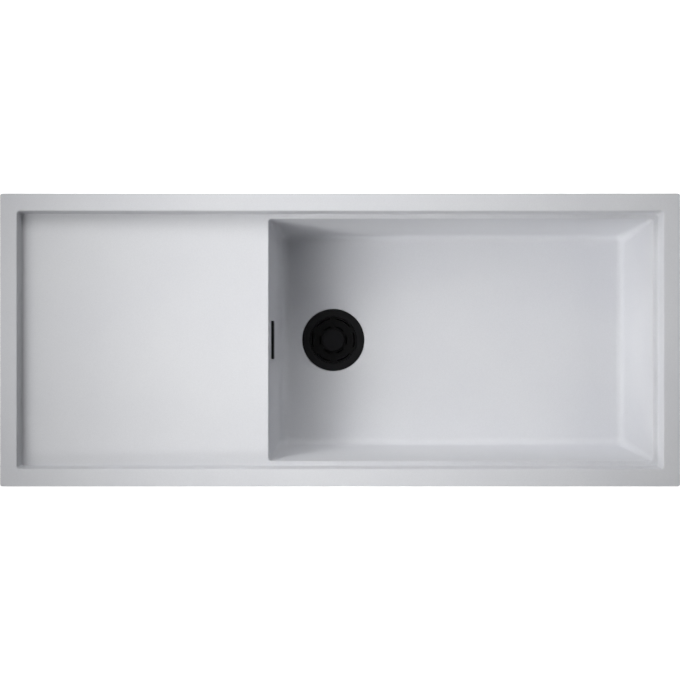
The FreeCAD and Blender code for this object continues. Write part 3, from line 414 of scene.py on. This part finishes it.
# Zinc plated steel of screws and claws: cool grey with cloudy patches from the bath, about
# 5 mm across. The zinc's grain of 0.1 mm is drawn at 0.7 mm.
ZINC_PLATED_STEEL = Finish(
    name="zinc_plated_steel",
    grain=Grain.COATED,
    colour="#C6C9CC",
    shade="#AEB2B6",
    roughness=0.34,
    metallic=1.0,
    patch_mm=5.0,
    grain_mm=0.7,
    relief_mm=0.006,
    roughness_spread=0.12,
)

# Stainless steel of the plug's rod and nut and of the waste bolt, drawn and brushed along its
# length: bright, with fine streaks. Grit marks of 0.1 mm are drawn at 0.5 mm.
BRUSHED_STAINLESS = Finish(
    name="brushed_stainless",
    grain=Grain.BRUSHED,
    colour="#CFCFCE",
    shade="#BFBFBE",
    roughness=0.28,
    metallic=1.0,
    patch_mm=10.0,
    grain_mm=0.5,
    relief_mm=0.004,
)


def dress(piece: bpy.types.Object, finish: Finish) -> None:
    """Give a piece one finish all over.

    Args:
        piece: a mesh object.
        finish: its finish.
    """
    piece.data.materials.clear()
    piece.data.materials.append(finish.material())


def dress_nodes(nodes: dict[str, bpy.types.Object], finishes: dict[str, Finish]) -> None:
    """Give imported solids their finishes.

    Args:
        nodes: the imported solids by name.
        finishes: the finish of each named solid.
    """
    for name, finish in finishes.items():
        dress(nodes[name], finish)
        log.info("%s: %s", name, finish.name)


# Modelling


def in_scene(name: str, data: bpy.types.ID) -> bpy.types.Object:
    """Make an object of a mesh, a light or a camera and link it to the scene.

    Args:
        name: the object's name.
        data: what it shows.

    Returns:
        The new object.
    """
    thing = bpy.data.objects.new(name, data)
    bpy.context.scene.collection.objects.link(thing)
    return thing


def mesh_in_scene(name: str, mesh: bmesh.types.BMesh) -> bpy.types.Object:
    """Turn a finished bmesh into an object.

    Args:
        name: the object's name.
        mesh: its shape, in place; it is freed.

    Returns:
        The new object.
    """
    data = bpy.data.meshes.new(name)
    mesh.to_mesh(data)
    mesh.free()
    return in_scene(name, data)


def add_piece(
    name: str,
    mesh: bmesh.types.BMesh,
    finish: Finish,
    body: str,
    slot: str,
    *replaced: str,
) -> bpy.types.Object:
    """Turn a finished bmesh into a piece that rides on a body and stands for solids.

    Args:
        name: the piece's name.
        mesh: its shape, in place; it is freed.
        finish: its finish.
        body: the body it rides on.
        slot: the record's material slot; not used.
        replaced: the solids it stands for.

    Returns:
        The new object.
    """
    piece = mesh_in_scene(name, mesh)
    piece.data.shade_smooth()
    piece.data.set_sharp_from_angle(angle=CREASE)
    dress(piece, finish)
    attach(piece, body)
    if replaced:
        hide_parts(*replaced)
    log.info("%s: %d faces", name, len(piece.data.polygons))
    return piece


def welded_copy(node: bpy.types.Object) -> bmesh.types.BMesh:
    """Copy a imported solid's loose triangles into one closed mesh.

    Args:
        node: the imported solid.

    Returns:
        The welded copy.
    """
    mesh = bmesh.new()
    mesh.from_mesh(node.data)
    bmesh.ops.remove_doubles(mesh, verts=mesh.verts, dist=WELD_DISTANCE * MM)
    return mesh


def verts_of(geometry: list) -> list[bmesh.types.BMVert]:
    """Pick the corners out of what an operator made."""
    return [g for g in geometry if isinstance(g, bmesh.types.BMVert)]


def add_ring(
    mesh: bmesh.types.BMesh, sides: int, radius: float, place: Matrix
) -> list[bmesh.types.BMEdge]:
    """Lay a ring of edges about the Z axis of a frame.

    Args:
        mesh: the mesh that takes the ring.
        sides: the number of its edges.
        radius: its radius in millimetres.
        place: the frame, in metres.

    Returns:
        The ring's edges.
    """
    made = bmesh.ops.create_circle(mesh, segments=sides, radius=radius * MM, matrix=place)
    return list(dict.fromkeys(edge for vert in made["verts"] for edge in vert.link_edges))


def grow_ring(
    mesh: bmesh.types.BMesh, ring: list[bmesh.types.BMEdge], change: Matrix
) -> list[bmesh.types.BMEdge]:
    """Extrude a ring of edges and move what is new.

    Args:
        mesh: the mesh of the ring.
        ring: the ring's edges.
        change: what takes the old ring to the new one, in metres.

    Returns:
        The new ring's edges.
    """
    grown = bmesh.ops.extrude_edge_only(mesh, edges=ring)["geom"]
    bmesh.ops.transform(mesh, verts=verts_of(grown), matrix=change)
    return [g for g in grown if isinstance(g, bmesh.types.BMEdge)]


@dataclass(frozen=True)
class Thread:
    """An outside screw thread about a vertical axis, in millimetres.

    The ridge is wide at its root and narrow at its crest, both given as half a width in
    shares of the pitch, and its foot is buried in the core. The margins say how far a corner
    of the shank may lie off the wall that it belongs to.
    """

    crest_radius: float
    root_radius: float
    pitch: float
    turn_steps: int
    half_root_share: float = 0.42
    half_crest_share: float = 0.09
    foot_depth: float = 0.15
    radius_margin: float = 0.06
    level_margin: float = 0.1

    def cut_core(
        self, mesh: bmesh.types.BMesh, x: float, y: float, low: float, high: float
    ) -> None:
        """Draw the shank's wall in from the crest to the root of the thread.

        Args:
            mesh: the mesh with the shank.
            x: the axis's place.
            y: the axis's place.
            low: the lower end of the wall that is drawn in.
            high: its upper end.
        """
        low, high = low - self.level_margin, high + self.level_margin
        wall = []
        for vert in mesh.verts:
            reach = math.hypot(vert.co.x / MM - x, vert.co.y / MM - y)
            on_wall = abs(reach - self.crest_radius) < self.radius_margin
            if on_wall and low <= vert.co.z / MM <= high:
                wall.append(vert)
        share = self.root_radius / self.crest_radius
        axis = Matrix.Translation(Vector((x * MM, y * MM, 0)))
        shrink = Matrix.Diagonal((share, share, 1, 1))
        bmesh.ops.transform(mesh, verts=wall, matrix=axis @ shrink @ axis.inverted())

    def add_ridge(
        self, mesh: bmesh.types.BMesh, x: float, y: float, low: float, high: float
    ) -> None:
        """Wind the thread's ridge round the axis.

        Args:
            mesh: the mesh that takes the ridge.
            x: the axis's place.
            y: the axis's place.
            low: where the ridge begins.
            high: where it ends.
        """
        core_faces = set(mesh.faces)
        inside = self.root_radius - self.foot_depth
        half_root = self.half_root_share * self.pitch
        half_crest = self.half_crest_share * self.pitch
        start = low + half_root
        outline = [
            (inside, start - half_root),
            (self.crest_radius, start - half_crest),
            (self.crest_radius, start + half_crest),
            (inside, start + half_root),
        ]
        verts = [mesh.verts.new(((x + r) * MM, y * MM, z * MM)) for r, z in outline]
        edges = [mesh.edges.new(pair) for pair in zip(verts, verts[1:] + verts[:1])]
        turns = (high - low - 2 * half_root) / self.pitch
        steps = round(turns * self.turn_steps)
        mesh.faces.new(list(reversed(verts)))
        spun = bmesh.ops.spin(
            mesh,
            geom=edges,
            cent=(x * MM, y * MM, 0),
            axis=(0, 0, 1),
            dvec=(0, 0, turns * self.pitch * MM / steps),
            angle=turns * 2 * math.pi,
            steps=steps,
            use_merge=False,
        )
        bmesh.ops.contextual_create(mesh, geom=verts_of(spun["geom_last"]))
        ridge = [face for face in mesh.faces if face not in core_faces]
        bmesh.ops.recalc_face_normals(mesh, faces=ridge)


@dataclass
class SinkMoulding:
    """Rim, recess, drainboard, ledge and bowl: one casting, with its brass inserts."""

    finishes: dict[str, Finish] = field(
        default_factory=lambda: {
            "sink_body": QUARTZ_COMPOSITE,
            "clamp_inserts": TURNED_BRASS,
        }
    )

    def build(self, nodes: dict[str, bpy.types.Object]) -> None:
        """Dress the casting and its inserts."""
        dress_nodes(nodes, self.finishes)


@dataclass
class StrainerWaste:
    """The basket waste: flange, basket, knob, plug and the body below the floor.

    Sizes in millimetres. The outlet's thread leaves a plain collar at either end.
    """

    axis_x: float = -12.4
    outlet_top: float = -252.5
    outlet_end: float = -271.5
    upper_collar: float = 0.4
    lower_collar: float = 0.6
    thread: Thread = Thread(crest_radius=23.9, root_radius=22.6, pitch=2.31, turn_steps=72)
    finishes: dict[str, Finish] = field(
        default_factory=lambda: {
            "strainer_flange": BLACK_COATED_STEEL,
            # The basket's darker coating is painted shade for its place down in the well.
            "strainer_basket": BLACK_COATING_PAINTED_SHADE,
            "basket_knob": BLACK_ABS,
            "stem_ring": NITRILE_RUBBER,
            "plug_stem": BRUSHED_STAINLESS,
            "plug_seal": NITRILE_RUBBER,
            "plug_nut": BRUSHED_STAINLESS,
            "flange_seal": NITRILE_RUBBER,
            "waste_seal": NITRILE_RUBBER,
            "waste_bolt": BRUSHED_STAINLESS,
            "bolt_insert": TURNED_BRASS,
        }
    )

    def build(self, nodes: dict[str, bpy.types.Object]) -> None:
        """Dress the waste's pieces and model the threaded waste body.

        Args:
            nodes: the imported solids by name.
        """
        dress_nodes(nodes, self.finishes)
        mesh = welded_copy(nodes["waste_body"])
        low, high = self.outlet_end, self.outlet_top
        self.thread.cut_core(mesh, self.axis_x, 0, low, high)
        low, high = low + self.lower_collar, high - self.upper_collar
        self.thread.add_ridge(mesh, self.axis_x, 0, low, high)
        add_piece(
            "threaded_waste_body",
            mesh,
            BLACK_POLYPROPYLENE,
            "sink",
            "black_plastic",
            "waste_body",
        )


@dataclass
class RibbedHose:
    """The overflow hose: down beside the bowl wall, one bend, into the waste's inlet.

    Sizes in millimetres. The route starts deep in the upper socket and ends deep in the
    lower one, and each face is the X and Z of the end of its socket. The hump is an
    exponent: below one it gives the ribs round crowns and narrow valleys.
    """

    upper_face: tuple[float, float] = (-146.73, -85.73)
    lower_face: tuple[float, float] = (-79.9, -226.0)
    lean: float = math.radians(5.386)
    socket_depth: float = 14.0
    bend_radius: float = 40.0
    cuff_length: float = 27.0
    cuff_radius: float = 9.0
    bore_radius: float = 7.2
    crest_radius: float = 10.5
    valley_radius: float = 8.8
    rib_count: int = 36
    rib_hump: float = 0.6
    rib_steps: int = 8
    ring_steps: int = 48
    bore_steps: int = 60

    def down(self) -> Vector:
        """The way the hose leaves the upper socket."""
        return Vector((math.sin(self.lean), 0, -math.cos(self.lean)))

    def start(self) -> Vector:
        """Where the route begins, in the upper socket."""
        x, z = self.upper_face
        return Vector((x, 0, z)) - self.down() * self.socket_depth

    def stations(self) -> tuple[list[tuple[float, float]], float]:
        """Distances along the route with the outside radius there.

        Returns:
            The stations, and the length of the route.
        """
        length = sum(self.run_lengths())
        pitch = (length - 2 * self.cuff_length) / self.rib_count
        places = [(0.0, self.cuff_radius), (self.cuff_length, self.cuff_radius)]
        depth = self.crest_radius - self.valley_radius
        for step in range(1, self.rib_count * self.rib_steps):
            share = step / self.rib_steps
            swell = 0.5 - 0.5 * math.cos(2 * math.pi * share)
            radius = self.valley_radius + depth * swell**self.rib_hump
            places.append((self.cuff_length + share * pitch, radius))
        for distance in (length - self.cuff_length, length):
            places.append((distance, self.cuff_radius))
        return places, length

    def run_lengths(self) -> tuple[float, float, float]:
        """Work out how long each part of the route is.

        Returns:
            The lengths of the first run, the bend and the last run.
        """
        down, start = self.down(), self.start()
        end_x, end_z = self.lower_face[0] + self.socket_depth, self.lower_face[1]
        corner = start + down * ((end_z - start.z) / down.z)
        turn = math.pi / 2 - self.lean
        cut_back = self.bend_radius * math.tan(turn / 2)
        first = (corner - start).length - cut_back
        last = end_x - corner.x - cut_back
        return first, self.bend_radius * turn, last

    def frame_at(self, distance: float) -> Matrix:
        """A frame on the route, its Z axis along it, in metres.

        Args:
            distance: how far along the route, in millimetres.

        Returns:
            The frame as a matrix.
        """
        first, bend, _ = self.run_lengths()
        heading = math.pi - self.lean
        point = self.start() + self.down() * min(distance, first)
        if distance > first:
            turned = min(distance - first, bend) / self.bend_radius
            side = Vector((math.cos(self.lean), 0, math.sin(self.lean)))
            centre = point + side * self.bend_radius
            spoke = Matrix.Rotation(-turned, 4, "Y") @ -side
            point = centre + spoke * self.bend_radius
            heading -= turned
        if distance > first + bend:
            point = point + Vector((1, 0, 0)) * (distance - first - bend)
        return Matrix.Translation(point * MM) @ Matrix.Rotation(heading, 4, "Y")

    def build(self) -> bpy.types.Object:
        """Extrude a ring along the route outside and back through the bore.

        Returns:
            The hose.
        """
        outside, length = self.stations()
        inside = [
            (length * (1 - step / self.bore_steps), self.bore_radius)
            for step in range(self.bore_steps + 1)
        ]
        mesh = bmesh.new()
        frame, radius = self.frame_at(0.0), self.cuff_radius
        first_ring = add_ring(mesh, self.ring_steps, radius, frame)
        ring = first_ring
        for distance, next_radius in outside[1:] + inside:
            share = next_radius / radius
            next_frame = self.frame_at(distance)
            change = next_frame @ Matrix.Diagonal((share, share, 1, 1)) @ frame.inverted()
            ring = grow_ring(mesh, ring, change)
            frame, radius = next_frame, next_radius
        bmesh.ops.bridge_loops(mesh, edges=first_ring + ring)
        bmesh.ops.recalc_face_normals(mesh, faces=mesh.faces)
        return add_piece(
            "ribbed_overflow_hose",
            mesh,
            GREY_POLYPROPYLENE,
            "sink",
            "grey_plastic",
            "overflow_hose",
        )


@dataclass
class HoseNut:
    """A compression nut: a hexagon with chamfered ends, bored for a socket and its washer.

    Sizes in millimetres. The face is the X and Z of the socket's end. The nut reaches over
    the socket by its grip, and the mouth in its lip lets the hose through.
    """

    name: str
    node: str
    face: tuple[float, float]
    turn: float
    sides: int = 6
    flats: float = 30.0
    length: float = 18.0
    grip: float = 12.0
    bore: float = 12.05
    bore_steps: int = 48
    mouth: float = 9.3
    lip: float = 3.4
    chamfer: float = 1.4
    edge_round: float = 0.8
    edge_steps: int = 3

    def build(self) -> bpy.types.Object:
        """Grow a hexagon into a chamfered shell, bore it and close both ends.

        Returns:
            The nut.
        """
        foot = self.grip - self.length
        corner = self.flats / 2 / math.cos(math.pi / self.sides)
        outside = [
            (foot, corner - self.chamfer),
            (foot + self.chamfer, corner),
            (self.grip - self.chamfer, corner),
            (self.grip, corner - self.chamfer),
        ]
        inside = [
            (self.grip, self.bore),
            (foot + self.lip, self.bore),
            (foot + self.lip, self.mouth),
            (foot, self.mouth),
        ]
        mesh = bmesh.new()
        half_side = Matrix.Rotation(math.pi / self.sides, 4, "Z")
        place = Matrix.Translation((0, 0, foot * MM)) @ half_side
        foot_outside = add_ring(mesh, self.sides, corner - self.chamfer, place)
        top_outside = self.grow_shell(mesh, foot_outside, outside)
        place = Matrix.Translation((0, 0, self.grip * MM))
        top_inside = add_ring(mesh, self.bore_steps, self.bore, place)
        # This bridge, made before the bore's walls, twists both end faces over the bore.
        bmesh.ops.bridge_loops(mesh, edges=top_outside + top_inside)
        foot_inside = self.grow_shell(mesh, top_inside, inside)
        bmesh.ops.bridge_loops(mesh, edges=foot_outside + foot_inside)
        self.round_corners(mesh)
        bmesh.ops.recalc_face_normals(mesh, faces=mesh.faces)
        place = Matrix.Translation((self.face[0] * MM, 0, self.face[1] * MM))
        turned = place @ Matrix.Rotation(self.turn, 4, "Y")
        bmesh.ops.transform(mesh, verts=mesh.verts, matrix=turned)
        return add_piece(
            self.name, mesh, BLACK_POLYPROPYLENE, "sink", "black_plastic", self.node
        )

    @staticmethod
    def grow_shell(
        mesh: bmesh.types.BMesh,
        ring: list[bmesh.types.BMEdge],
        stations: list[tuple[float, float]],
    ) -> list[bmesh.types.BMEdge]:
        """Grow a ring from its own station through the ones after it.

        Args:
            mesh: the nut's mesh.
            ring: the ring at the first station.
            stations: the level and the radius of each ring.

        Returns:
            The ring at the last station.
        """
        level, radius = stations[0]
        for next_level, next_radius in stations[1:]:
            share = next_radius / radius
            rise = Matrix.Translation((0, 0, (next_level - level) * MM))
            ring = grow_ring(mesh, ring, rise @ Matrix.Diagonal((share, share, 1, 1)))
            level, radius = next_level, next_radius
        return ring

    def round_corners(self, mesh: bmesh.types.BMesh) -> None:
        """Round the long edges between the flats.

        Args:
            mesh: the nut's mesh, still upright.
        """
        long_edges = [
            edge
            for edge in mesh.edges
            if abs(edge.verts[0].co.z - edge.verts[1].co.z) > self.length / 2 * MM
            and all(vert.co.xy.length > self.flats / 2 * MM for vert in edge.verts)
        ]
        bmesh.ops.bevel(
            mesh,
            geom=long_edges,
            offset=self.edge_round * MM,
            segments=self.edge_steps,
            profile=0.5,
            affect="EDGES",
            material=-1,
        )


@dataclass
class Overflow:
    """Cover, housing, gasket, screws and the hose with its two nuts and washers."""

    hose: RibbedHose = field(default_factory=RibbedHose)
    finishes: dict[str, Finish] = field(
        default_factory=lambda: {
            "overflow_cover": BLACK_ABS,
            "overflow_gasket": NITRILE_RUBBER,
            "overflow_box": BLACK_POLYPROPYLENE,
            "overflow_screws": ZINC_PLATED_STEEL,
            "hose_washer_upper": NITRILE_RUBBER,
            "hose_washer_lower": NITRILE_RUBBER,
        }
    )

    def build(self, nodes: dict[str, bpy.types.Object]) -> None:
        """Dress the overflow's pieces and model the hose and its nuts.

        Args:
            nodes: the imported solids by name.
        """
        dress_nodes(nodes, self.finishes)
        hose = self.hose
        hose.build()
        HoseNut("upper_hose_nut", "hose_nut_upper", hose.upper_face, -hose.lean).build()
        HoseNut("lower_hose_nut", "hose_nut_lower", hose.lower_face, math.pi / 2).build()


@dataclass
class RimClamps:
    """Eight clamps: a socket screw with its thread, and a bent claw, each on its own body.

    Sizes in millimetres. The places are the screws' axes, the bearing is the level on which
    the screws' heads carry the claws, and the shank is plain above it and at its tip.
    """

    places: tuple[tuple[float, float], ...] = (
        (-430.0, 228.0),
        (0.0, 228.0),
        (430.0, 228.0),
        (558.0, 0.0),
        (430.0, -228.0),
        (0.0, -228.0),
        (-430.0, -228.0),
        (-558.0, 0.0),
    )
    bearing: float = -58.5
    shank_length: float = 35.0
    plain_shank: float = 3.0
    plain_tip: float = 0.5
    thread: Thread = Thread(crest_radius=3.0, root_radius=2.5, pitch=1.0, turn_steps=20)

    def build(self, nodes: dict[str, bpy.types.Object]) -> None:
        """Dress the claws and model the threaded screws.

        Args:
            nodes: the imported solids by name.
        """
        top = self.bearing + self.shank_length
        for number, (x, y) in enumerate(self.places, 1):
            dress_nodes(nodes, {f"clamp_claw_{number}": ZINC_PLATED_STEEL})
            node = f"clamp_screw_{number}"
            mesh = welded_copy(nodes[node])
            self.thread.cut_core(mesh, x, y, self.bearing, top)
            low, high = self.bearing + self.plain_shank, top - self.plain_tip
            self.thread.add_ridge(mesh, x, y, low, high)
            add_piece(f"threaded_{node}", mesh, ZINC_PLATED_STEEL, node, "steel", node)


# Studio

# What the lights point at, in metres.
AT_MIDDLE = (0.0, 0.0, -0.1)
AT_STRAINER = (0.05, -0.05, -0.1)
AT_BOWL = (0.2, 0.0, -0.1)
AT_BOWL_RIGHT = (0.35, 0.0, -0.1)
AT_RIGHT_RIM = (0.55, 0.1, 0.0)


@dataclass(frozen=True)
class SoftBox:
    """A square studio light with a grid that narrows its beam; metres, degrees and watts."""

    name: str
    place: tuple[float, float, float]
    aim: tuple[float, float, float]
    side: float
    beam: float
    power: float

    def build(self) -> bpy.types.Object:
        """Hang the light and turn it to its aim.

        Returns:
            The light.
        """
        data = bpy.data.lights.new(self.name, "AREA")
        data.shape = "SQUARE"
        data.size = self.side
        data.spread = math.radians(self.beam)
        data.energy = self.power
        light = in_scene(self.name, data)
        light.location = self.place
        direction = Vector(self.aim) - Vector(self.place)
        light.rotation_euler = direction.to_track_quat("-Z", "Y").to_euler()
        light.visible_camera = False
        return light


@dataclass
class Studio:
    """White floor, soft light mostly from the left and back, the camera straight above.

    Sizes in metres, lens and sensor in millimetres. Floor and sky look fully white, and
    light the sink with their fill alone.
    """

    camera_height: float = 2.438
    lens: float = 75.4
    sensor: float = 36.0
    floor_level: float = -0.274
    floor_reach: float = 12.0
    floor_fill: float = 0.3
    sky_fill: float = 0.06
    lights: tuple[SoftBox, ...] = (
        SoftBox("left_key", (-0.952, 0.255, 1.854), AT_MIDDLE, 0.7, 45.0, 0.48),
        SoftBox("left_middle", (-1.479, -0.129, 1.485), AT_MIDDLE, 0.7, 45.0, 0.39),
        SoftBox("left_low", (-1.812, -0.159, 1.050), AT_MIDDLE, 0.7, 45.0, 0.18),
        SoftBox("left_skim", (-1.757, 0.471, 1.050), AT_MIDDLE, 0.7, 45.0, 0.23),
        SoftBox("left_accent", (-1.100, 0.900, 1.200), AT_STRAINER, 0.35, 40.0, 0.31),
        SoftBox("left_high", (-1.376, 0.278, 1.949), AT_BOWL, 0.6, 32.0, 0.19),
        SoftBox("left_front", (-1.779, -0.530, 1.501), AT_BOWL, 0.6, 32.0, 0.40),
        SoftBox("back_low", (-0.909, 1.575, 1.050), AT_MIDDLE, 0.7, 45.0, 0.57),
        SoftBox("back_fill", (0.0, 1.638, 1.147), AT_MIDDLE, 1.0, 90.0, 2.67),
        SoftBox("front_fill", (-0.900, -1.500, 1.200), AT_BOWL_RIGHT, 0.9, 50.0, 1.63),
        SoftBox("right_fill", (1.350, 0.600, 1.300), AT_RIGHT_RIM, 0.6, 40.0, 0.26),
    )

    def build(self) -> None:
        """Set up camera, floor, sky and lights."""
        self.add_camera()
        self.add_floor()
        self.add_sky()
        for light in self.lights:
            light.build()
        bpy.context.scene.view_settings.view_transform = "Standard"
        log.info("studio: %d lights", len(self.lights))

    def add_sky(self) -> None:
        """Hang a white backdrop that shows behind the sink but lights it only softly."""
        world = bpy.data.worlds.new("studio")
        world.use_nodes = True
        tree = world.node_tree
        backdrop = tree.nodes["Background"]
        backdrop.inputs["Color"].default_value = linear("#FFFFFF")
        tree.links.new(self.glow(tree, self.sky_fill), backdrop.inputs["Strength"])
        bpy.context.scene.world = world

    @staticmethod
    def glow(tree: bpy.types.NodeTree, fill: float) -> bpy.types.NodeSocket:
        """Work out a strength that is full to the eye and less as light on the sink.

        Args:
            tree: the node tree of the glowing thing.
            fill: its strength as a light.

        Returns:
            The strength.
        """
        seen = add_node(tree, "ShaderNodeLightPath").outputs["Is Camera Ray"]
        strength = add_node(
            tree,
            "ShaderNodeMapRange",
            values={"To Min": fill, "To Max": 1.0},
            links={"Value": seen},
        )
        return strength.outputs["Result"]

    def add_camera(self) -> None:
        """Look straight down on the sink, its back at the top of the picture."""
        data = bpy.data.cameras.new("camera")
        data.lens = self.lens
        data.sensor_width = self.sensor
        camera = in_scene("camera", data)
        camera.location = (0.0, 0.0, self.camera_height)
        bpy.context.scene.camera = camera

    def add_floor(self) -> None:
        """Lay a floor that reads as white paper from above and is open from below."""
        mesh = bmesh.new()
        bmesh.ops.create_grid(
            mesh,
            x_segments=2,
            y_segments=2,
            size=self.floor_reach,
            matrix=Matrix.Translation((0, 0, self.floor_level)),
        )
        floor = mesh_in_scene("floor", mesh)
        floor.data.materials.append(self.white_paper())

    def white_paper(self) -> bpy.types.Material:
        """Matt white paper that glows as seen from above and is clear from below.

        Returns:
            The material.
        """
        material = bare_material("white_paper")
        tree = material.node_tree
        paper = add_node(
            tree,
            "ShaderNodeBsdfPrincipled",
            values={
                "Base Color": linear("#F4F4F4"),
                "Roughness": 0.9,
                "Emission Color": linear("#FFFFFF"),
            },
            links={"Emission Strength": self.glow(tree, self.floor_fill)},
        )
        open_side = add_node(tree, "ShaderNodeBsdfTransparent")
        behind = add_node(tree, "ShaderNodeNewGeometry").outputs["Backfacing"]
        one_sided = add_node(
            tree,
            "ShaderNodeMixShader",
            links={0: behind, 1: paper.outputs["BSDF"], 2: open_side.outputs["BSDF"]},
        )
        add_node(
            tree, "ShaderNodeOutputMaterial", links={"Surface": one_sided.outputs["Shader"]}
        )
        return material


def main() -> None:
    """Build the sink piece by piece in its studio."""
    logging.basicConfig(level=logging.INFO, format="%(name)s %(message)s")
    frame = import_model()
    nodes = frame["nodes"]
    Studio().build()
    SinkMoulding().build(nodes)
    StrainerWaste().build(nodes)
    Overflow().build(nodes)
    RimClamps().build(nodes)


if __name__ == "__main__":
    main()
